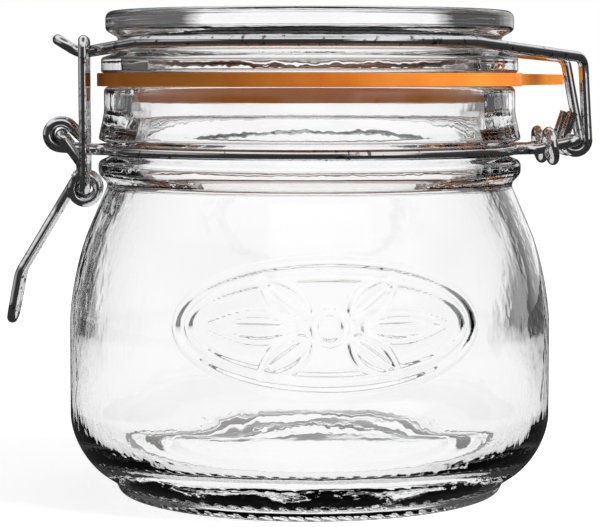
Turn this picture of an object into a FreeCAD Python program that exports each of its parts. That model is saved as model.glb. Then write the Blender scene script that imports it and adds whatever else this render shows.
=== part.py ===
import FreeCAD, Part
import math
import os

# Clip-top jar: a squat glass jar, a glass lid on a rubber gasket, and the sprung wirework
# that hinges the lid at +X and clamps it at -X.
# Frame: millimetres, +Z up, origin where the jar's axis meets the surface it stands on,
# -Y is the front, so near means -Y and far means +Y.

# ---- driving dimensions --------------------------------------------------------------

# glass jar: body
body_radius = 52.8
body_wall = 3.9
shoulder_start_z = 47.5      # where the straight side would meet the line of the shoulder
shoulder_bend_wanted = 55.0
heel_bend = 16.0
heel_top_z = 8.9
heel_inset = 9.6             # body radius down to the foot
foot_height = 2.5
foot_taper = 1.2
stand_width = 5.0
push_up = 3.8                # how far the underside is raised in the middle
floor_z = 8.2

# glass jar: neck, from the bore outward and from the foot of the neck upward
neck_bore_radius = 38.4
neck_wall = 5.8
neck_z = 67.5
bead_height = 2.7
bead_overhang = 7.9
groove_depth_spare = 0.5     # groove deeper than the wire is thick
groove_width_spare = 2.5
collar_flare_height = 5.8
rim_overhang = 6.6
rim_above_groove = 11.5

# gasket
gasket_thickness = 2.6
gasket_overhang = 1.5
seat_gap = 0.3               # gasket above the jar's rim
tab_length = 14.0
tab_width = 12.0
tab_thickness = 2.0
tab_azimuth = 17.0

# glass lid
lip_play = 0.9               # lid lip inside the jar's bore
lip_depth = 6.4
lip_width = 2.1
flange_overhang = 0.6        # beyond the jar's rim
flange_height = 3.3
lid_groove_spare = 1.4       # lid's groove deeper than the wire is thick
wire_above_flange = 1.95     # underside of the lid's wire above the flange
lid_groove_slope = 1.5
lid_rim_inset = 1.0
lid_rim_height = 4.2
lid_plate = 4.4
lid_dish = 1.2               # how far the middle of the top lies below its rim

# wire
wire_radius = 1.15
groove_gap = 0.05            # wire above the floor of its groove
pass_gap = 0.3               # between wires that move past each other
rest_gap = 0.35              # between the link's bar and the notch of the nose
eye_play = 0.12              # more room round the pins of the latch than in the hinge
tight_bend = 1.6
soft_bend = 3.0
spring_bend = 20.0           # where a ring runs off into its strands
spring_lead = 4.0

# latch at -X: out is beyond the radius of the ring it hangs from, up is above that ring
nose_notch_out = 7.1
nose_notch_up = -2.1
nose_tip_out = 11.8
nose_tip_up = 0.8
nose_half_width = 3.0
eye_half_width = 5.0
latch_pin_out = 9.6
latch_pin_up = 3.3
scroll_out = 4.6
scroll_up = 2.3
coil_clearance = 0.3         # lever's coils off the jar's shoulder
coil_below_neck = 0.9
handle_off_body = 10.4
handle_up = -26.4
handle_tip_off_body = 12.3
handle_tip_up = -36.4
handle_half_width = 7.4
handle_tip_bend = 3.5
link_bar_in = 1.0            # the link's bar towards the jar from the notch

# hinge at +X: out and up as for the latch
hinge_pin_out = 13.7
hinge_pin_up = 1.9
hook_half_width = 4.2
hook_end_back = 0.7
hook_end_up = 6.1
arm_gap = 0.4                # between the hooks and the arms of the hinge
bail_corner_near_out = 16.8
bail_corner_far_out = 14.4
bail_corner_up = -3.0
corner_bend = 2.4
hinge_arm_bend = 6.0
closing_ring_gap = 1.1       # between the closing rings and the hooks
closing_ring_play = 0.8
closing_ring_lean = 0.17

# ---- sizes that follow ---------------------------------------------------------------

inner_radius = body_radius - body_wall
foot_ring_radius = body_radius - heel_inset
stand_outer_radius = foot_ring_radius - foot_taper
stand_inner_radius = stand_outer_radius - stand_width
neck_radius = neck_bore_radius + neck_wall
shoulder_slope = (body_radius - neck_radius) / (neck_z - shoulder_start_z)
shoulder_run = math.hypot(body_radius - neck_radius, neck_z - shoulder_start_z)
half_turn = math.atan(shoulder_slope) / 2
shoulder_bend = min(shoulder_bend_wanted, 0.9 * shoulder_run / math.tan(half_turn))
bead_radius = neck_bore_radius + bead_overhang
bead_low_z = neck_z + 2.2
bead_high_z = bead_low_z + bead_height
collar_groove_radius = bead_radius - 2 * wire_radius - groove_depth_spare
collar_low_z = bead_high_z + 2 * wire_radius + groove_width_spare
rim_radius = neck_bore_radius + rim_overhang
rim_z = collar_low_z + rim_above_groove

gasket_outer_radius = rim_radius + gasket_overhang
gasket_low_z = rim_z + seat_gap
gasket_high_z = gasket_low_z + gasket_thickness
tab_reach = gasket_outer_radius + tab_length

lid_lip_radius = neck_bore_radius - lip_play
lid_bore_radius = lid_lip_radius - lip_width
lid_flange_radius = rim_radius + flange_overhang
lid_groove_radius = lid_flange_radius - 2 * wire_radius - lid_groove_spare
lid_rim_radius = lid_flange_radius - lid_rim_inset
flange_top_z = gasket_high_z + flange_height
bail_z = flange_top_z + wire_above_flange + wire_radius
groove_top_z = bail_z + wire_radius + pass_gap / 2
lid_rim_low_z = groove_top_z + lid_groove_slope
lid_top_z = lid_rim_low_z + lid_rim_height

band_z = (bead_high_z + collar_low_z) / 2 + 0.2
band_ring_radius = collar_groove_radius + groove_gap + wire_radius
bail_ring_radius = lid_groove_radius + groove_gap + wire_radius
pitch = 2 * wire_radius + pass_gap
hook_bend = pitch
eye_bend = pitch + eye_play
lever_half_width = eye_half_width + pitch
link_half_width = lever_half_width + pitch
arm_half_width = hook_half_width + 2 * wire_radius + arm_gap
closing_ring_radius = 2 * wire_radius + closing_ring_play

# points of the latch and the hinge, each (x, z)
nose_notch = (-(bail_ring_radius + nose_notch_out), bail_z + nose_notch_up)
nose_tip = (-(bail_ring_radius + nose_tip_out), bail_z + nose_tip_up)
latch_pin = (-(band_ring_radius + latch_pin_out), band_z + latch_pin_up)
scroll_end = (-(band_ring_radius + scroll_out), band_z + scroll_up)
coil_z = neck_z - coil_below_neck
coil_reach = eye_bend + wire_radius + coil_clearance
coil_off_shoulder = (body_radius - shoulder_slope * (coil_z - shoulder_start_z)
                     + coil_reach * math.hypot(1, shoulder_slope))
coil_off_bead = bead_radius + math.sqrt(max(0, coil_reach ** 2 - (bead_low_z - coil_z) ** 2))
coil_centre = (-max(coil_off_shoulder, coil_off_bead), coil_z)
handle_bend_point = (-(body_radius + handle_off_body), band_z + handle_up)
handle_tip = (-(body_radius + handle_tip_off_body), band_z + handle_tip_up)
hinge_pin = (band_ring_radius + hinge_pin_out, band_z + hinge_pin_up)
hook_end = (hinge_pin[0] - hook_end_back, hinge_pin[1] + hook_end_up)
bail_corner_z = bail_z + bail_corner_up
bail_corner_near_x = bail_ring_radius + bail_corner_near_out
bail_corner_far_x = bail_ring_radius + bail_corner_far_out
closing_ring_x = hinge_pin[0] - hook_bend - 2 * wire_radius - closing_ring_gap


# ---- helpers -------------------------------------------------------------------------

def vec(x, y, z):
    return FreeCAD.Vector(x, y, z)


def arc_edge(start, middle, end):
    return Part.Arc(start, middle, end).toShape()


def line_edge(start, end):
    return Part.LineSegment(start, end).toShape()


def bent_run(stations, closed=False):
    """Edges of straight runs joined by tangent arcs; a station is (point, bend radius)."""
    count = len(stations)
    cuts = []
    for i, (point, radius) in enumerate(stations):
        if radius == 0 or (not closed and i in (0, count - 1)):
            cuts.append((point, point, None))
            continue
        back = stations[i - 1][0].sub(point).normalize()
        ahead = stations[(i + 1) % count][0].sub(point).normalize()
        half_angle = back.getAngle(ahead) / 2
        reach = radius / math.tan(half_angle)
        inward = back.add(ahead).normalize()
        belly = inward.multiply(radius / math.sin(half_angle) - radius)
        cuts.append((point.add(back.multiply(reach)), point.add(ahead.multiply(reach)),
                     point.add(belly)))
    edges = []
    for i in range(count):
        enter, leave, belly = cuts[i]
        if belly is not None:
            edges.append(arc_edge(enter, belly, leave))
        if i < count - 1 or closed:
            following = cuts[(i + 1) % count][0]
            if leave.distanceToPoint(following) > 1e-6:
                edges.append(line_edge(leave, following))
    return edges


def turned(profile):
    """Solid of revolution about Z; a profile station is (radius, height, bend radius)."""
    outline = bent_run([(vec(r, 0, z), bend) for r, z, bend in profile], closed=True)
    face = Part.Face(Part.Wire(outline))
    return face.revolve(vec(0, 0, 0), vec(0, 0, 1), 360)


def swept_wire(edges, radius=wire_radius):
    """Round wire along a chain of edges that already run end to end."""
    first = edges[0]
    start = first.valueAt(first.FirstParameter)
    along = first.tangentAt(first.FirstParameter)
    section = Part.Wire([Part.Circle(start, along, radius).toShape()])
    solid = Part.Wire(edges).makePipeShell([section], True, False)
    return Part.Solid(solid) if solid.ShapeType != "Solid" else solid


def mirrored(point):
    return vec(point.x, -point.y, point.z)


def tangent_point(outside, centre, radius, side):
    """Where a line from an outside point touches a circle, both as (x, z); side is 1 or -1."""
    dx, dz = outside[0] - centre[0], outside[1] - centre[1]
    lean = side * math.acos(radius / math.hypot(dx, dz))
    angle = math.atan2(dz, dx) + lean
    return centre[0] + radius * math.cos(angle), centre[1] + radius * math.sin(angle), angle


def circle_arc(centre, radius, start_angle, end_angle, y):
    """Arc in a plane of constant y, from one angle to the other, either way round."""
    def at(angle):
        return vec(centre[0] + radius * math.cos(angle), y, centre[1] + radius * math.sin(angle))
    return arc_edge(at(start_angle), at((start_angle + end_angle) / 2), at(end_angle))


def ring_exit(ring_radius, bend, half_width, sign):
    """Centre of the arc that turns a ring's wire outward to run along X at a given y."""
    cy = half_width + bend
    cx = sign * math.sqrt((ring_radius + bend) ** 2 - cy ** 2)
    return cx, cy


# ---- glass ---------------------------------------------------------------------------

def make_jar():
    lip = 1.2
    outside = [
        (0, push_up, 0),
        (stand_inner_radius - 4, push_up - 1.4, 6),
        (stand_inner_radius, 0, 1.2),
        (stand_outer_radius, 0, 1.2),
        (foot_ring_radius, foot_height, 1.0),
        (body_radius, heel_top_z, heel_bend),
        (body_radius, shoulder_start_z, shoulder_bend),
        (neck_radius, neck_z, 2.0),
        (bead_radius, bead_low_z, 1.1),
        (bead_radius, bead_high_z, 1.0),
        (collar_groove_radius, bead_high_z + lip, 0.8),
        (collar_groove_radius, collar_low_z - lip, 0.8),
        (bead_radius, collar_low_z, 0.7),
        (rim_radius, collar_low_z + collar_flare_height, 8.0),
        (rim_radius, rim_z, 1.2),
    ]
    inside = [
        (neck_bore_radius, rim_z, 1.8),
        (neck_bore_radius, neck_z + 0.6, 9.0),
        (inner_radius, shoulder_start_z + 0.2, shoulder_bend - body_wall),
        (inner_radius, floor_z + 0.8, heel_bend - body_wall),
        (0, floor_z, 0),
    ]
    return turned(outside + inside)


def make_lid():
    ceiling_z = lid_top_z - lid_dish - lid_plate
    profile = [
        (0, lid_top_z - lid_dish, 0),
        (lid_rim_radius - 6.0, lid_top_z - lid_dish, 4.0),
        (lid_rim_radius - 3.6, lid_top_z, 1.5),
        (lid_rim_radius, lid_top_z, 1.6),
        (lid_rim_radius, lid_rim_low_z, 0.9),
        (lid_groove_radius, groove_top_z, 0.8),
        (lid_groove_radius, flange_top_z + 1.2, 0.8),
        (lid_flange_radius, flange_top_z, 0.7),
        (lid_flange_radius, gasket_high_z, 0.6),
        (lid_lip_radius, gasket_high_z, 0),
        (lid_lip_radius, gasket_high_z - lip_depth, 0.8),
        (lid_bore_radius, gasket_high_z - lip_depth, 0.8),
        (lid_bore_radius - 0.6, ceiling_z, 5.0),
        (0, ceiling_z + 0.5, 0),
    ]
    return turned(profile)


def make_gasket():
    ring = Part.makeCylinder(gasket_outer_radius, gasket_thickness, vec(0, 0, gasket_low_z))
    root_x = gasket_outer_radius - 3
    half = tab_width / 2
    outline = bent_run([
        (vec(root_x, -half - 2, 0), 0),
        (vec(gasket_outer_radius + 2, -half, 0), 3),
        (vec(tab_reach, -half, 0), 2),
        (vec(tab_reach, half, 0), 2),
        (vec(gasket_outer_radius + 2, half, 0), 3),
        (vec(root_x, half + 2, 0), 0),
    ], closed=True)
    tab = Part.Face(Part.Wire(outline)).extrude(vec(0, 0, tab_thickness))
    tab.translate(vec(0, 0, gasket_low_z + (gasket_thickness - tab_thickness) / 2))
    tab.rotate(vec(0, 0, 0), vec(0, 0, 1), tab_azimuth)
    bore = Part.makeCylinder(lid_lip_radius, gasket_thickness + 2, vec(0, 0, gasket_low_z - 1))
    return ring.fuse(tab).cut(bore).removeSplitter().Solids[0]


# ---- wirework ------------------------------------------------------------------------

def make_bail():
    """Lid wire: a nose at -X, a ring in the lid's groove, and two hooked legs at +X."""
    def leg_stations(y, corner_x):
        """From the end of the hook, under the pin and up the leg, to the corner."""
        near_end = tangent_point(hook_end, hinge_pin, hook_bend, 1)
        near_leg = tangent_point((corner_x, bail_corner_z), hinge_pin, hook_bend, -1)
        stub = line_edge(vec(hook_end[0], y, hook_end[1]), vec(near_end[0], y, near_end[1]))
        sweep_end = near_leg[2]
        while sweep_end < near_end[2]:
            sweep_end += 2 * math.pi
        hook = circle_arc(hinge_pin, hook_bend, near_end[2], sweep_end, y)
        return [stub, hook], vec(near_leg[0], y, near_leg[1])

    def ring_touch(x, half_width):
        """Angle on the ring, from +X, where a tangent reaches (x, half_width)."""
        return math.atan2(half_width, x) + math.acos(bail_ring_radius / math.hypot(x, half_width))

    def strand(side, corner_x):
        """Stations from the leg's corner to the ring on one side; side is -1 near, 1 far."""
        angle = ring_touch(corner_x, hook_half_width)
        touch = vec(bail_ring_radius * math.cos(angle), side * bail_ring_radius * math.sin(angle),
                    bail_z)
        ahead = vec(math.sin(angle), -side * math.cos(angle), 0).multiply(spring_lead)
        return touch, touch.add(ahead)

    near, far = -1, 1
    hooks_near, leg_near = leg_stations(near * hook_half_width, bail_corner_near_x)
    hooks_far, leg_far = leg_stations(far * hook_half_width, bail_corner_far_x)
    touch_near, lead_near = strand(near, bail_corner_near_x)
    touch_far, lead_far = strand(far, bail_corner_far_x)
    nose_angle = ring_touch(-nose_notch[0], nose_half_width)
    nose_touch = vec(-bail_ring_radius * math.cos(nose_angle),
                     -bail_ring_radius * math.sin(nose_angle), bail_z)
    nose_lead = nose_touch.add(vec(-math.sin(nose_angle), math.cos(nose_angle), 0).multiply(spring_lead))

    to_ring = bent_run([
        (leg_near, 0),
        (vec(bail_corner_near_x, near * hook_half_width, bail_corner_z), corner_bend),
        (lead_near, spring_bend),
        (touch_near, 0),
    ])
    near_arc = arc_edge(touch_near, vec(0, -bail_ring_radius, bail_z), nose_touch)
    nose = bent_run([
        (nose_touch, 0),
        (nose_lead, spring_bend),
        (vec(nose_notch[0], -nose_half_width, nose_notch[1]), soft_bend),
        (vec(nose_tip[0], -nose_half_width, nose_tip[1]), nose_half_width - 0.1),
        (vec(nose_tip[0], nose_half_width, nose_tip[1]), nose_half_width - 0.1),
        (vec(nose_notch[0], nose_half_width, nose_notch[1]), soft_bend),
        (mirrored(nose_lead), spring_bend),
        (mirrored(nose_touch), 0),
    ])
    far_arc = arc_edge(mirrored(nose_touch), vec(0, bail_ring_radius, bail_z), touch_far)
    from_ring = bent_run([
        (touch_far, 0),
        (lead_far, spring_bend),
        (vec(bail_corner_far_x, far * hook_half_width, bail_corner_z), corner_bend),
        (leg_far, 0),
    ])
    stub_far, hook_far = hooks_far
    ends_far = [reversed_edge(hook_far), reversed_edge(stub_far)]
    return swept_wire(hooks_near + to_ring + [near_arc] + nose + [far_arc] + from_ring + ends_far)


def reversed_edge(edge):
    """The same line or arc, run the other way."""
    first, last = edge.FirstParameter, edge.LastParameter
    start, end = edge.valueAt(first), edge.valueAt(last)
    if edge.Curve.TypeId == "Part::GeomLine":
        return line_edge(end, start)
    return arc_edge(end, edge.valueAt((first + last) / 2), start)


def make_neck_band():
    """Neck wire: a ring in the jar's groove, scroll eyes at -X and the hinge pin at +X."""
    exit_bend = soft_bend
    near_y = -eye_half_width
    cx, cy = ring_exit(band_ring_radius, exit_bend, eye_half_width, -1)
    left_touch = vec(cx, -cy, 0).multiply(band_ring_radius / (band_ring_radius + exit_bend))
    left_touch.z = band_z
    strand_start = vec(cx, near_y, band_z)
    toward_middle = vec(-cx, cy, 0).normalize()
    out = vec(0, 1, 0)
    belly = vec(cx, -cy, band_z).add(toward_middle.add(out).normalize().multiply(exit_bend))
    left_turn = arc_edge(left_touch, belly, strand_start)

    lead = (cx - 1.0, band_z)
    low = tangent_point(lead, latch_pin, eye_bend, -1)
    high = tangent_point(scroll_end, latch_pin, eye_bend, 1)
    low_angle, high_angle = low[2], high[2]
    while high_angle > low_angle:
        high_angle -= 2 * math.pi
    eye = circle_arc(latch_pin, eye_bend, low_angle, high_angle, near_y)
    to_eye = bent_run([
        (strand_start, 0),
        (vec(lead[0], near_y, lead[1]), soft_bend),
        (vec(low[0], near_y, low[1]), 0),
    ])
    across = bent_run([
        (vec(high[0], near_y, high[1]), 0),
        (vec(scroll_end[0], near_y, scroll_end[1]), tight_bend),
        (vec(scroll_end[0], -near_y, scroll_end[1]), tight_bend),
        (vec(high[0], -near_y, high[1]), 0),
    ])

    hx, hy = ring_exit(band_ring_radius, hinge_arm_bend, arm_half_width, 1)
    right_touch = vec(hx, -hy, 0).multiply(band_ring_radius / (band_ring_radius + hinge_arm_bend))
    right_touch.z = band_z
    arm_start = vec(hx, -arm_half_width, band_z)
    toward_middle = vec(-hx, hy, 0).normalize()
    belly = vec(hx, -hy, band_z).add(toward_middle.add(out).normalize().multiply(hinge_arm_bend))
    right_turn = arc_edge(arm_start, belly, right_touch)
    arm_lead = vec(hx + 0.6, -arm_half_width, band_z)
    hinge_corner = vec(hinge_pin[0], -arm_half_width, hinge_pin[1])
    hinge = bent_run([
        (mirrored(arm_start), 0),
        (mirrored(arm_lead), soft_bend),
        (mirrored(hinge_corner), 2.0),
        (hinge_corner, 2.0),
        (arm_lead, soft_bend),
        (arm_start, 0),
    ])
    near_arc = arc_edge(right_touch, vec(0, -band_ring_radius, band_z), left_touch)
    near_half = [right_turn, near_arc, left_turn] + to_eye + [eye]
    far_half = [reversed_edge(mirror_edge(edge)) for edge in reversed(near_half)]
    return swept_wire(near_half + across + far_half + hinge)


def mirror_edge(edge):
    """The same line or arc on the other side of the XZ plane."""
    first, last = edge.FirstParameter, edge.LastParameter
    start, end = mirrored(edge.valueAt(first)), mirrored(edge.valueAt(last))
    if edge.Curve.TypeId == "Part::GeomLine":
        return line_edge(start, end)
    return arc_edge(start, mirrored(edge.valueAt((first + last) / 2)), end)


def make_closing_ring(side):
    """One turn of wire closed round a hinge arm."""
    hx, _ = ring_exit(band_ring_radius, hinge_arm_bend, arm_half_width, 1)
    share = (closing_ring_x - hx) / (hinge_pin[0] - hx)
    centre = vec(closing_ring_x, side * arm_half_width, band_z + share * (hinge_pin[1] - band_z))
    return Part.makeTorus(closing_ring_radius, wire_radius, centre, vec(1, 0, closing_ring_lean))


def make_lever():
    """Closing lever: two pins in the scroll eyes, two coils that carry the link, a handle."""
    pin_reach = eye_half_width - wire_radius - 0.6
    coil_in = tangent_point(latch_pin, coil_centre, eye_bend, -1)
    coil_out = tangent_point(handle_bend_point, coil_centre, eye_bend, -1)
    start_angle, end_angle = coil_in[2], coil_out[2]
    while end_angle < start_angle + math.pi:
        end_angle += 2 * math.pi
    turns = 7
    step = (end_angle - start_angle) / turns
    corner_radius = eye_bend / math.cos(step / 2)

    def half(side):
        stations = [
            (vec(latch_pin[0], side * pin_reach, latch_pin[1]), 0),
            (vec(latch_pin[0], side * lever_half_width, latch_pin[1]), tight_bend),
        ]
        for k in range(turns):
            angle = start_angle + (k + 0.5) * step
            y = lever_half_width - pitch * (k + 0.5) / turns
            stations.append((vec(coil_centre[0] + corner_radius * math.cos(angle), side * y,
                                 coil_centre[1] + corner_radius * math.sin(angle)),
                             eye_bend * 0.97))
        leave = (coil_out[0], coil_out[1])
        inner_y = eye_half_width
        share = 0.3
        stations.append((vec(leave[0] + share * (handle_bend_point[0] - leave[0]), side * inner_y,
                             leave[1] + share * (handle_bend_point[1] - leave[1])), 12.0))
        stations.append((vec(handle_bend_point[0], side * handle_half_width,
                             handle_bend_point[1]), 6.0))
        stations.append((vec(handle_tip[0], side * handle_half_width, handle_tip[1]), handle_tip_bend))
        return stations

    return swept_wire(bent_run(half(-1) + half(1)[::-1]))


def make_link():
    """Clamp link: feet through the lever's coils, a bar over the nose of the lid wire."""
    foot_reach = eye_half_width - wire_radius - 0.6
    bar_x = nose_notch[0] + link_bar_in
    bar_z = nose_notch[1] + 2 * wire_radius + rest_gap

    def half(side):
        return [
            (vec(coil_centre[0], side * foot_reach, coil_centre[1]), 0),
            (vec(coil_centre[0], side * link_half_width, coil_centre[1]), tight_bend),
            (vec(bar_x, side * link_half_width, bar_z), 2.2),
        ]
    return swept_wire(bent_run(half(-1) + half(1)[::-1]))


# ---- files ---------------------------------------------------------------------------

def main():
    os.makedirs("parts", exist_ok=True)
    nodes = {
        "jar": make_jar(),
        "lid": make_lid(),
        "gasket": make_gasket(),
        "bail": make_bail(),
        "neck_band": make_neck_band(),
        "hinge_ring_near": make_closing_ring(-1),
        "hinge_ring_far": make_closing_ring(1),
        "lever": make_lever(),
        "link": make_link(),
    }
    for name, shape in nodes.items():
        shape.exportStep("parts/" + name + ".step")
        box = shape.BoundBox
        print(f"{name:16s} valid {shape.isValid()} solids {len(shape.Solids)} "
              f"volume {shape.Volume:9.1f} x {box.XMin:6.1f} {box.XMax:6.1f} "
              f"y {box.YMin:6.1f} {box.YMax:6.1f} z {box.ZMin:6.1f} {box.ZMax:6.1f}")


main()
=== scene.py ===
import bpy
import bmesh
import math
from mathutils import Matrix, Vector, noise


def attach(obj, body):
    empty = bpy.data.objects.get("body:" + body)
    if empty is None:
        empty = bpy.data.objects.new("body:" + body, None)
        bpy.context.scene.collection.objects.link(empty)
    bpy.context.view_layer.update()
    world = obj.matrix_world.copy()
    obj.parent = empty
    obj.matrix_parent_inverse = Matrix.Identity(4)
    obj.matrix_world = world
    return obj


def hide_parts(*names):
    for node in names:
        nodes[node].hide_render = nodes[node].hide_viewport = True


# Clip-top glass jar in metres, jar axis on Z, front towards -Y, hinge at +X, latch at -X.
# The dictionaries give sizes in millimetres.

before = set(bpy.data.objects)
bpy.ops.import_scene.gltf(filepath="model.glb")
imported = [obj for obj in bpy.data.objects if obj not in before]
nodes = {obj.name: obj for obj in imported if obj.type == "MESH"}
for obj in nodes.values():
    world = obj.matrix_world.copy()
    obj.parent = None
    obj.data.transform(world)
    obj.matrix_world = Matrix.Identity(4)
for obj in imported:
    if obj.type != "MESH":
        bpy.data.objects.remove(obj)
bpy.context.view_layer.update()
mm = 0.001
print("frame loaded,", len(nodes), "nodes")


def newPiece(name, shape, material, body, stands=()):
    mesh = bpy.data.meshes.new(name)
    shape.to_mesh(mesh)
    shape.free()
    for polygon in mesh.polygons:
        polygon.use_smooth = True
    piece = bpy.data.objects.new(name, mesh)
    bpy.context.scene.collection.objects.link(piece)
    mesh.materials.append(material)
    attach(piece, body)
    if stands:
        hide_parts(*stands)
    mesh.calc_loop_triangles()
    print("piece", name, len(mesh.loop_triangles), "triangles")


def outline(stations):
    # each station is (radius, height, reach of its rounded corner, longest edge from here on)
    shape = bmesh.new()
    verts = [shape.verts.new((r * mm, 0, z * mm)) for r, z, reach, cell in stations]
    places = [vert.co.copy() for vert in verts]
    for pair in zip(verts, verts[1:]):
        shape.edges.new(pair)
    for (r, z, reach, cell), vert in zip(stations, verts):
        if reach:
            bmesh.ops.bevel(shape, geom=[vert], offset=reach * mm, offset_type="OFFSET",
                            affect="VERTICES", segments=max(5, round(1.8 * reach / cell)),
                            profile=0.5, material=-1)
    for (r, z, reach, cell), start, end in zip(stations, places, places[1:]):
        for edge in list(shape.edges):
            middle = (edge.verts[0].co + edge.verts[1].co) / 2
            cuts = int(edge.calc_length() / mm / cell)
            detour = (middle - start).length + (middle - end).length - (end - start).length
            if cuts and detour < 1e-7:
                bmesh.ops.subdivide_edges(shape, edges=[edge], cuts=cuts)
    return shape


def spun(shape, steps):
    bmesh.ops.spin(shape, geom=list(shape.verts) + list(shape.edges), axis=(0, 0, 1),
                   cent=(0, 0, 0), dvec=(0, 0, 0), angle=math.tau, steps=steps,
                   use_merge=True, use_duplicate=False)
    bmesh.ops.remove_doubles(shape, verts=shape.verts, dist=0.002 * mm)
    bmesh.ops.recalc_face_normals(shape, faces=shape.faces)
    return shape


def radiusOf(vert):
    return math.hypot(vert.co.x, vert.co.y)


def divideRound(shape, cuts, inside):
    # more columns where inside(edge's middle) says so, set back on their circles
    wanted = []
    for edge in shape.edges:
        a, b = edge.verts
        if abs(a.co.z - b.co.z) < 1e-7 and abs(radiusOf(a) - radiusOf(b)) < 1e-7:
            if inside((a.co + b.co) / 2 / mm):
                wanted.append((edge, radiusOf(a)))
    rings = {}
    for edge, radius in wanted:
        rings[round(edge.verts[0].co.z, 8)] = radius
    made = bmesh.ops.subdivide_edges(shape, edges=[edge for edge, radius in wanted], cuts=cuts)
    for item in made["geom_inner"]:
        if isinstance(item, bmesh.types.BMVert):
            radius = rings.get(round(item.co.z, 8))
            if radius:
                grow = radius / radiusOf(item)
                item.co.x *= grow
                item.co.y *= grow


def step(value, start, end):
    t = min(1, max(0, (value - start) / (end - start)))
    return t * t * (3 - 2 * t)


def newMaterial(name):
    material = bpy.data.materials.new(name)
    material.use_nodes = True
    tree = material.node_tree
    return material, tree, tree.nodes["Principled BSDF"]


def setInputs(node, values):
    for key, value in values.items():
        node.inputs[key].default_value = value
    return node


def mathNode(tree, operation, first, second):
    node = tree.nodes.new("ShaderNodeMath")
    node.operation = operation
    for socket, value in zip(node.inputs, (first, second)):
        if isinstance(value, (int, float)):
            socket.default_value = value
        else:
            tree.links.new(value, socket)
    return node.outputs[0]


def rampNode(tree, factor, stops):
    node = tree.nodes.new("ShaderNodeValToRGB")
    elements = node.color_ramp.elements
    for i, (position, colour) in enumerate(stops):
        element = elements[i] if i < 2 else elements.new(position)
        element.position = position
        element.color = colour if isinstance(colour, tuple) else (colour, colour, colour, 1)
    tree.links.new(factor, node.inputs["Fac"])
    return node.outputs["Color"]


def makeGrain():
    # uneven surface for every material: a mask and a bumped normal, larger or finer by its inputs
    grain = bpy.data.node_groups.new("SurfaceGrain", "ShaderNodeTree")
    for name in ("Scale", "Detail", "Upright", "Depth"):
        grain.interface.new_socket(name=name, in_out="INPUT", socket_type="NodeSocketFloat")
    grain.interface.new_socket(name="Mask", in_out="OUTPUT", socket_type="NodeSocketFloat")
    grain.interface.new_socket(name="Normal", in_out="OUTPUT", socket_type="NodeSocketVector")
    given, result = grain.nodes.new("NodeGroupInput"), grain.nodes.new("NodeGroupOutput")
    place = grain.nodes.new("ShaderNodeTexCoord")
    upright = setInputs(grain.nodes.new("ShaderNodeCombineXYZ"), {"X": 1.0, "Y": 1.0})
    stretch = grain.nodes.new("ShaderNodeVectorMath")
    stretch.operation = "MULTIPLY"
    cloud = grain.nodes.new("ShaderNodeTexNoise")
    bump = setInputs(grain.nodes.new("ShaderNodeBump"), {"Strength": 1.0})
    for source, target in ((given.outputs["Upright"], upright.inputs["Z"]),
                           (place.outputs["Object"], stretch.inputs[0]),
                           (upright.outputs["Vector"], stretch.inputs[1]),
                           (stretch.outputs["Vector"], cloud.inputs["Vector"]),
                           (given.outputs["Scale"], cloud.inputs["Scale"]),
                           (given.outputs["Detail"], cloud.inputs["Detail"]),
                           (given.outputs["Depth"], bump.inputs["Distance"]),
                           (cloud.outputs["Fac"], bump.inputs["Height"]),
                           (cloud.outputs["Fac"], result.inputs["Mask"]),
                           (bump.outputs["Normal"], result.inputs["Normal"])):
        grain.links.new(source, target)
    return grain


surfaceGrain = makeGrain()


def grained(tree, shader, look):
    node = tree.nodes.new("ShaderNodeGroup")
    node.node_tree = surfaceGrain
    setInputs(node, look["grain"])
    tree.links.new(node.outputs["Normal"], shader.inputs["Normal"])
    return node.outputs["Mask"]


glassLook = {"colour": (0.997, 1.0, 0.998, 1), "ior": 1.5,
             "grain": {"Scale": 60.0, "Detail": 4.0, "Upright": 0.6, "Depth": 0.00032}}


def glassMaterial(name, look):
    material, tree, shader = newMaterial(name)
    setInputs(shader, {"Base Color": look["colour"], "Roughness": 0.0, "IOR": look["ior"],
                       "Transmission Weight": 1.0, "Metallic": 0.0})
    grained(tree, shader, look)
    return material


wireLook = {"colours": [(0.33, (0.16, 0.16, 0.16, 1)), (0.4, (0.72, 0.72, 0.73, 1))],
            "roughness": [(0.34, 0.3), (0.46, 0.07)],
            "grain": {"Scale": 650.0, "Detail": 3.0, "Upright": 1.0, "Depth": 0.00003}}


def wireMaterial(name, look):
    material, tree, shader = newMaterial(name)
    setInputs(shader, {"Metallic": 1.0})
    specks = grained(tree, shader, look)
    tree.links.new(rampNode(tree, specks, look["colours"]), shader.inputs["Base Color"])
    tree.links.new(rampNode(tree, specks, look["roughness"]), shader.inputs["Roughness"])
    return material


rubberLook = {"colours": [(0.3, (0.6, 0.15, 0.012, 1)), (0.7, (0.78, 0.27, 0.04, 1))],
              "patchScale": 60.0, "roughness": [(0.3, 0.42), (0.7, 0.6)],
              "grain": {"Scale": 1500.0, "Detail": 2.0, "Upright": 1.0, "Depth": 0.00003}}


def rubberMaterial(name, look):
    material, tree, shader = newMaterial(name)
    setInputs(shader, {"Specular IOR Level": 0.2})
    specks = grained(tree, shader, look)
    tree.links.new(rampNode(tree, specks, look["roughness"]), shader.inputs["Roughness"])
    place = tree.nodes.new("ShaderNodeTexCoord")
    patch = setInputs(tree.nodes.new("ShaderNodeTexNoise"),
                      {"Scale": look["patchScale"], "Detail": 4.0})
    tree.links.new(place.outputs["Object"], patch.inputs["Vector"])
    tree.links.new(rampNode(tree, patch.outputs["Fac"], look["colours"]),
                   shader.inputs["Base Color"])
    return material


jarGlass = glassMaterial("JarGlass", glassLook)
lidGlass = glassMaterial("LidGlass", glassLook)
brightWire = wireMaterial("BrightWire", wireLook)
gasketRubber = rubberMaterial("GasketRubber", rubberLook)
print("materials made")

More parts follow.
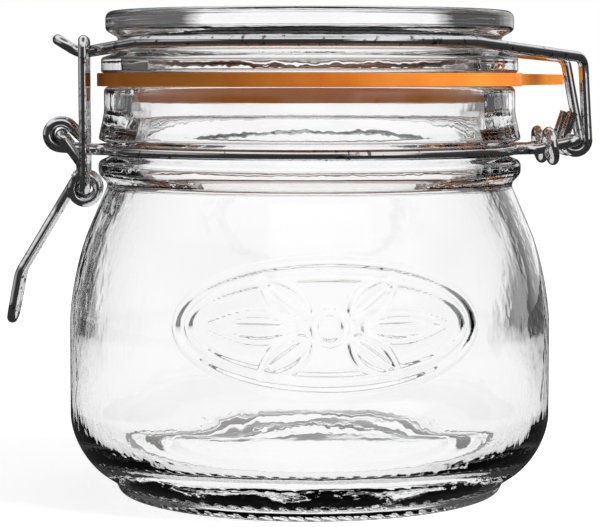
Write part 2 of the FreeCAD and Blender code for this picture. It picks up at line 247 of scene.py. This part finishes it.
# Glass jar: the outside from the middle of the base up to the rim, then the inside down again.
jarSizes = {
    "outline": [
        (0, 3.8, 0, 3.0), (33, 2.4, 3, 1.2), (37, 0, 0.8, 0.9), (42, 0, 0.75, 0.28),
        (43.2, 2.5, 0.55, 0.25), (44.5, 3.37, 0, 0.6), (52.79, 8.9, 8.2, 0.6), (52.79, 26.5, 0, 0.36),
        (52.79, 47.5, 11.2, 0.38), (44.2, 67.5, 0.9, 0.5), (46.3, 69.7, 0.75, 0.35),
        (46.3, 72.4, 0.8, 0.35), (43.5, 73.6, 0.5, 0.3), (43.5, 76.0, 0.5, 0.3),
        (46.3, 77.2, 0.5, 0.6), (45, 83.0, 0.9, 0.9), (45, 88.7, 1.2, 0.7),
        (38.4, 88.7, 1.8, 1.5), (38.4, 71.1, 2.2, 1.4), (48.9, 46.7, 11.5, 1.4),
        (48.9, 9.0, 9.5, 1.2), (0, 8.2, 0, 2.0),
    ],
    "columns": 164,
    "footZone": {"low": -1, "high": 7.6, "outside": 41.5, "cuts": 4},
    "ticks": {"count": 80, "lean": 1.2, "soft": (0.2, 0.8),
              "rows": [(0.65, 0.5, 0.35), (3.0, 0.5, 0.35), (6.9, 0.35, 0.15)]},
    "floorSway": {"depth": 0.35, "span": 9, "below": 0.3, "rings": 0.08, "ringPitch": 1.1},
    "front": {"low": 16, "high": 66, "outside": 50.8, "shoulder": 47, "slope": 0.43},
    "dip": {"halfWidth": 54, "halfHeight": 24, "soft": (0.55, 1.0)},  # the field sinks, the lines stay
    "relief": {"height": 0.7, "middle": 41, "halfWidth": 33, "halfHeight": 13, "flank": 0.85,
               "line": 0.72, "berry": 3.2, "ringGap": 3.0, "low": 26.5, "high": 55.5, "turn": 38,
               "cuts": 5, "around": 52.8,
               "leaves": [(4.2, 2.2, 36, 13, 2.9), (4.2, -2.2, -36, 13, 2.9), (6.5, 0, 0, 19, 2.8)]},
}


def leafLine(u, v, leaf):
    # distance to the outline or midrib of one leaf: (u, v, angle in degrees, length, half width)
    angle = math.radians(leaf[2])
    p = (u - leaf[0]) * math.cos(angle) + (v - leaf[1]) * math.sin(angle)
    q = abs((v - leaf[1]) * math.cos(angle) - (u - leaf[0]) * math.sin(angle))
    share = p / leaf[3]
    if not 0 <= share <= 1:
        return 9
    edge = leaf[4] * math.sin(math.pi * share ** 0.8)
    rib = q if share < 0.75 else 9
    return min(abs(q - edge), rib)


def reliefHeight(u, v, relief):
    # 1 on the raised lines, 0 beside them; u runs round the jar and v up it
    a, b = relief["halfWidth"], relief["halfHeight"]
    nearest = 9
    for inset in (0, relief["ringGap"]):
        e = math.hypot(u / (a - inset), v / (b - inset))
        slope = math.hypot(u / (a - inset) ** 2, v / (b - inset) ** 2) / max(e, 0.01)
        nearest = min(nearest, abs(e - 1) / max(slope, 0.001))
    u = abs(u)
    nearest = min(nearest, abs(math.hypot(u, v) - relief["berry"]))
    for leaf in relief["leaves"]:
        nearest = min(nearest, leafLine(u, v, leaf))
    return 1 - step(nearest, relief["line"] - relief["flank"] / 2,
                    relief["line"] + relief["flank"] / 2)


def makeJar(sizes):
    shape = spun(outline(sizes["outline"]), sizes["columns"])
    relief, ticks, sway = sizes["relief"], sizes["ticks"], sizes["floorSway"]
    front, dip, foot = sizes["front"], sizes["dip"], sizes["footZone"]

    def onFront(point):
        outside = front["outside"] - front["slope"] * max(0, point.z - front["shoulder"])
        return (front["low"] < point.z < front["high"] and point.y < 0
                and math.hypot(point.x, point.y) > outside)  # between the wall's two faces

    def onRelief(point):
        around = abs(math.atan2(point.x, -point.y))
        return (onFront(point) and relief["low"] < point.z < relief["high"]
                and around < math.radians(relief["turn"]))

    def onFoot(point):
        return (foot["low"] < point.z < foot["high"]
                and math.hypot(point.x, point.y) > foot["outside"])

    divideRound(shape, relief["cuts"], onRelief)
    divideRound(shape, foot["cuts"], onFoot)
    for vert in shape.verts:
        radius, z = radiusOf(vert) / mm, vert.co.z / mm
        if z < 10 and radius < 41:  # the base is uneven inside and rippled outside
            lift = noise.noise(vert.co / mm / sway["span"])
            if z > 6:
                vert.co.z += sway["depth"] * lift * mm
            elif radius < 35:
                ring = math.sin(radius * sway["ringPitch"]) * sway["rings"]
                vert.co.z += (sway["below"] * sway["depth"] * lift + ring) * mm
            continue
        if radius < 30:
            continue
        around = math.atan2(vert.co.x, -vert.co.y)
        move = 0
        if onFoot(vert.co / mm):
            for height, half, depth in ticks["rows"]:
                away = abs(z - height) / half
                if away < 1:
                    wave = math.cos(ticks["count"] * around + ticks["lean"] * (z - height) / half)
                    move -= depth * (1 - away * away) * step(-wave, *ticks["soft"])
        elif onFront(vert.co / mm):
            u, v = around * relief["around"], z - relief["middle"]
            sunk = 1 - step(math.hypot(u / dip["halfWidth"], v / dip["halfHeight"]), *dip["soft"])
            raised = reliefHeight(u, v, relief) if onRelief(vert.co / mm) else 0
            move -= relief["height"] * sunk * (1 - raised)
        if move:
            grow = 1 + move / radius
            vert.co.x *= grow
            vert.co.y *= grow
    return shape


newPiece("JarBody", makeJar(jarSizes), jarGlass, "jar", ["jar"])

# Glass lid: top, rim, groove, flange, the lip that drops into the neck, and the hollow.
lidSizes = {
    "outline": [
        (0, 103.8, 0, 3.0), (38.6, 103.8, 1.2, 0.8), (41.0, 105.0, 0.8, 0.5), (44.6, 105.0, 1.6, 0.5),
        (44.6, 100.8, 0.7, 0.3), (41.9, 99.3, 0.6, 0.4), (41.9, 96.1, 0.6, 0.3),
        (45.6, 94.9, 0.6, 0.3), (45.6, 91.6, 0.6, 0.3), (37.5, 91.6, 0, 0.5),
        (37.5, 85.2, 0.8, 0.3), (35.4, 85.2, 0.8, 0.3), (34.8, 99.4, 4.5, 0.7), (0, 99.9, 0, 3.0),
    ],
    "columns": 240,
}
newPiece("LidDisc", spun(outline(lidSizes["outline"]), lidSizes["columns"]), lidGlass,
         "lid", ["lid"])

# Rubber gasket with its pull tab, pressed between the rim and the lid.
gasketSizes = {"inner": 37.55, "outer": 46.5, "low": 88.72, "high": 91.58, "corner": 0.2,
               "skirtOuter": 38.15, "skirtLow": 85.4, "columns": 240, "tabAngle": 17,
               "tabHalf": 6, "tabReach": 60.5, "tabThin": 0.8, "tabSteps": 8, "tabRound": 1.6}


def makeGasket(sizes):
    low, high, corner = sizes["low"], sizes["high"], sizes["corner"]
    inner, outer = sizes["inner"], sizes["outer"]
    skirt, foot = sizes["skirtOuter"], sizes["skirtLow"]  # the thin part inside the neck
    ring = [(inner, low, 0, 1.0), (inner, high, corner, 0.4), (outer, high, corner, 0.4),
            (outer, low, corner, 0.4), (skirt, low, corner / 2, 0.5), (skirt, foot, 0.25, 0.3),
            (inner, foot, 0.25, 0.5), (inner, low, 0, 1.0)]
    shape = spun(outline(ring), sizes["columns"])
    angle = math.radians(sizes["tabAngle"])
    out = Vector((math.cos(angle), math.sin(angle), 0))
    aside = Vector((-out.y, out.x, 0))
    middle = (low + high) / 2 * mm
    tabFaces = [face for face in shape.faces
                if radiusOf(face.verts[0]) > (outer - 0.1) * mm
                and face.calc_center_median().dot(out) > 0
                and abs(face.calc_center_median().dot(aside)) < sizes["tabHalf"] * mm
                and abs(face.normal.z) < 0.5]
    steps = sizes["tabSteps"]
    for k in range(steps):
        grown = bmesh.ops.extrude_face_region(shape, geom=tabFaces)
        bmesh.ops.delete(shape, geom=tabFaces, context="FACES_ONLY")
        tabFaces = [item for item in grown["geom"] if isinstance(item, bmesh.types.BMFace)]
        share = (k + 1) / steps
        target = (outer + share * (sizes["tabReach"] - outer)) * mm
        for vert in [item for item in grown["geom"] if isinstance(item, bmesh.types.BMVert)]:
            along, across = vert.co.dot(out), vert.co.dot(aside)
            end = 1  # only the last ring of vertices rounds the tip
            if k == steps - 1:
                end = math.sqrt(max(0, 1 - (across / (sizes["tabHalf"] * mm)) ** 4))
            along = target - (1 - end) * sizes["tabRound"] * mm
            vert.co = out * along + aside * across + Vector((0, 0, vert.co.z))
            vert.co.z = middle + (vert.co.z - middle) * (1 - (1 - sizes["tabThin"]) / steps)
    bmesh.ops.recalc_face_normals(shape, faces=shape.faces)
    return shape


newPiece("SealRing", makeGasket(gasketSizes), gasketRubber, "lid", ["gasket"])

for name in ("bail", "neck_band", "hinge_ring_near", "hinge_ring_far", "lever", "link"):
    nodes[name].data.materials.clear()
    nodes[name].data.materials.append(brightWire)
print("wirework finished")

# Studio: pale floor, white surroundings with darker sides, and one soft lamp from the right.
studio = {"floorColour": (0.85, 0.85, 0.85, 1), "floorSize": 3.0, "floorGlow": 0.78,
          "floorMirrored": 0.04, "floorRoughness": 0.6, "whiteTo": 0.2, "cardsFrom": 0.6,
          "worldLevel": 0.42,
          "lamp": {"place": (0.62, -0.38, 0.48), "aim": (0, 0, 0.06), "size": (0.35, 0.5),
                   "power": 8.0},
          "through": [(0.0, 0.5), (0.05, 0.09), (0.295, 0.09), (0.34, 1.0), (0.7, 1.0), (0.74, 0.1),
                      (0.95, 0.1), (1.0, 0.5)],
          "above": [(0.85, 1.0), (0.97, 0.6)],
          "soft": [(0.0, 0.0), (0.35, 0.06), (0.6, 0.95), (1.0, 1.3)],
          "mirrored": [(0.0, 0.5), (0.12, 0.05), (0.62, 0.04), (0.7, 1.0), (0.84, 1.0), (0.93, 0.06)],
          "mirroredAbove": [(0.4, 0.03), (0.6, 1.0), (0.85, 1.0), (0.95, 0.15)],
          "view": {"distance": 0.5, "turn": 4.5, "height": 0.0905, "tilt": 4.67, "lens": 136.2,
                   "aside": 0.0021}}


def sidewaysNode(tree, value):
    # from -1..1 to the 0..1 of a ramp
    node = mathNode(tree, "MULTIPLY_ADD", value, 0.5)
    node.node.inputs[2].default_value = 0.5
    return node


def mixShader(tree, factor, first, second):
    mix = tree.nodes.new("ShaderNodeMixShader")
    for source, target in ((factor, "Fac"), (first, 1), (second, 2)):
        tree.links.new(source, mix.inputs[target])
    return mix.outputs["Shader"]


def mixColour(tree, blend, first, second):
    mix = tree.nodes.new("ShaderNodeMix")
    mix.data_type, mix.blend_type = "RGBA", blend
    mix.inputs["Factor"].default_value = 1.0
    tree.links.new(first, mix.inputs["A"])
    tree.links.new(second, mix.inputs["B"])
    return mix.outputs["Result"]


def makeFloor(settings):
    shape = bmesh.new()
    bmesh.ops.create_grid(shape, x_segments=1, y_segments=1,
                          size=settings["floorSize"])
    mesh = bpy.data.meshes.new("Floor")
    shape.to_mesh(mesh)
    shape.free()
    floor = bpy.data.objects.new("Floor", mesh)
    bpy.context.scene.collection.objects.link(floor)
    material, tree, shader = newMaterial("FloorPale")
    setInputs(shader, {"Base Color": settings["floorColour"], "Roughness": settings["floorRoughness"]})
    mesh.materials.append(material)
    place = tree.nodes.new("ShaderNodeTexCoord")
    far = tree.nodes.new("ShaderNodeVectorMath")
    far.operation = "LENGTH"
    tree.links.new(place.outputs["Object"], far.inputs[0])
    split = tree.nodes.new("ShaderNodeSeparateXYZ")
    tree.links.new(place.outputs["Object"], split.inputs["Vector"])
    share = mathNode(tree, "DIVIDE", split.outputs["X"], far.outputs["Value"])
    cards = rampNode(tree, sidewaysNode(tree, share), settings["through"])
    distance = tree.nodes.new("ShaderNodeMapRange")
    setInputs(distance, {"From Min": settings["whiteTo"], "From Max": settings["cardsFrom"]})
    tree.links.new(far.outputs["Value"], distance.inputs["Value"])
    fade = tree.nodes.new("ShaderNodeMix")
    fade.data_type = "RGBA"
    fade.inputs["A"].default_value = (1, 1, 1, 1)
    tree.links.new(distance.outputs["Result"], fade.inputs["Factor"])
    tree.links.new(cards, fade.inputs["B"])
    rays = tree.nodes.new("ShaderNodeLightPath")
    glow = setInputs(tree.nodes.new("ShaderNodeEmission"), {"Strength": 1.0})
    tree.links.new(fade.outputs["Result"], glow.inputs["Color"])
    pale = tree.nodes.new("ShaderNodeEmission")
    tree.links.new(mathNode(tree, "MULTIPLY", rays.outputs["Is Camera Ray"], settings["floorGlow"]),
                   pale.inputs["Strength"])
    lit = tree.nodes.new("ShaderNodeAddShader")  # the glow is only added, so the shadow stays
    tree.links.new(shader.outputs["BSDF"], lit.inputs[0])
    tree.links.new(pale.outputs["Emission"], lit.inputs[1])
    dim = setInputs(tree.nodes.new("ShaderNodeEmission"), {"Strength": settings["floorMirrored"]})
    shown = lit.outputs["Shader"]
    for ray, light in (("Is Glossy Ray", dim), ("Is Transmission Ray", glow)):
        shown = mixShader(tree, rays.outputs[ray], shown, light.outputs["Emission"])
    tree.links.new(shown, tree.nodes["Material Output"].inputs["Surface"])


def makeWorld(settings):
    world = bpy.data.worlds.new("Studio")
    bpy.context.scene.world = world
    world.use_nodes = True
    tree = world.node_tree
    tree.nodes.clear()
    place = tree.nodes.new("ShaderNodeTexCoord")
    split = tree.nodes.new("ShaderNodeSeparateXYZ")
    tree.links.new(place.outputs["Generated"], split.inputs["Vector"])
    sideways, upwards = sidewaysNode(tree, split.outputs["X"]), split.outputs["Z"]
    mirrored = mixColour(tree, "LIGHTEN", rampNode(tree, sideways, settings["mirrored"]),
                         rampNode(tree, upwards, settings["mirroredAbove"]))
    through = mixColour(tree, "MULTIPLY", rampNode(tree, sideways, settings["through"]),
                        rampNode(tree, upwards, settings["above"]))
    soft = rampNode(tree, sideways, settings["soft"])
    rays = tree.nodes.new("ShaderNodeLightPath")
    shown = None
    for strength, colour, ray in ((settings["worldLevel"], soft, None),
                                  (1.0, mirrored, "Is Glossy Ray"),
                                  (1.0, through, "Is Transmission Ray"),
                                  (1.0, (1, 1, 1, 1), "Is Camera Ray")):
        light = setInputs(tree.nodes.new("ShaderNodeBackground"), {"Strength": strength})
        if isinstance(colour, tuple):
            light.inputs["Color"].default_value = colour
        else:
            tree.links.new(colour, light.inputs["Color"])
        lit = light.outputs["Background"]
        shown = lit if ray is None else mixShader(tree, rays.outputs[ray], shown, lit)
    output = tree.nodes.new("ShaderNodeOutputWorld")
    tree.links.new(shown, output.inputs["Surface"])


def makeLamp(name, lamp):
    light = bpy.data.lights.new(name, "AREA")
    light.shape = "RECTANGLE"
    light.size, light.size_y = lamp["size"]
    light.energy = lamp["power"]
    piece = bpy.data.objects.new(name, light)
    piece.location = lamp["place"]
    piece.visible_glossy = piece.visible_transmission = False
    toward = Vector(lamp["aim"]) - Vector(lamp["place"])
    piece.rotation_euler = toward.to_track_quat("-Z", "Y").to_euler()
    bpy.context.scene.collection.objects.link(piece)


def makeCamera(view):
    turn, tilt = math.radians(view["turn"]), math.radians(view["tilt"])
    eye = Vector((-math.sin(turn), -math.cos(turn), 0)) * view["distance"]
    eye.z = view["height"]
    aim = Vector((-view["aside"], 0, view["height"] - view["distance"] * math.tan(tilt)))
    data = bpy.data.cameras.new("Camera")
    data.lens = view["lens"]
    data.sensor_width = 36
    camera = bpy.data.objects.new("Camera", data)
    camera.location = eye
    camera.rotation_euler = (aim - eye).to_track_quat("-Z", "Y").to_euler()
    bpy.context.scene.collection.objects.link(camera)
    bpy.context.scene.camera = camera


makeFloor(studio)
makeWorld(studio)
makeLamp("RightSoftbox", studio["lamp"])
makeCamera(studio["view"])
bpy.context.scene.view_settings.view_transform = "Standard"
print("studio ready")
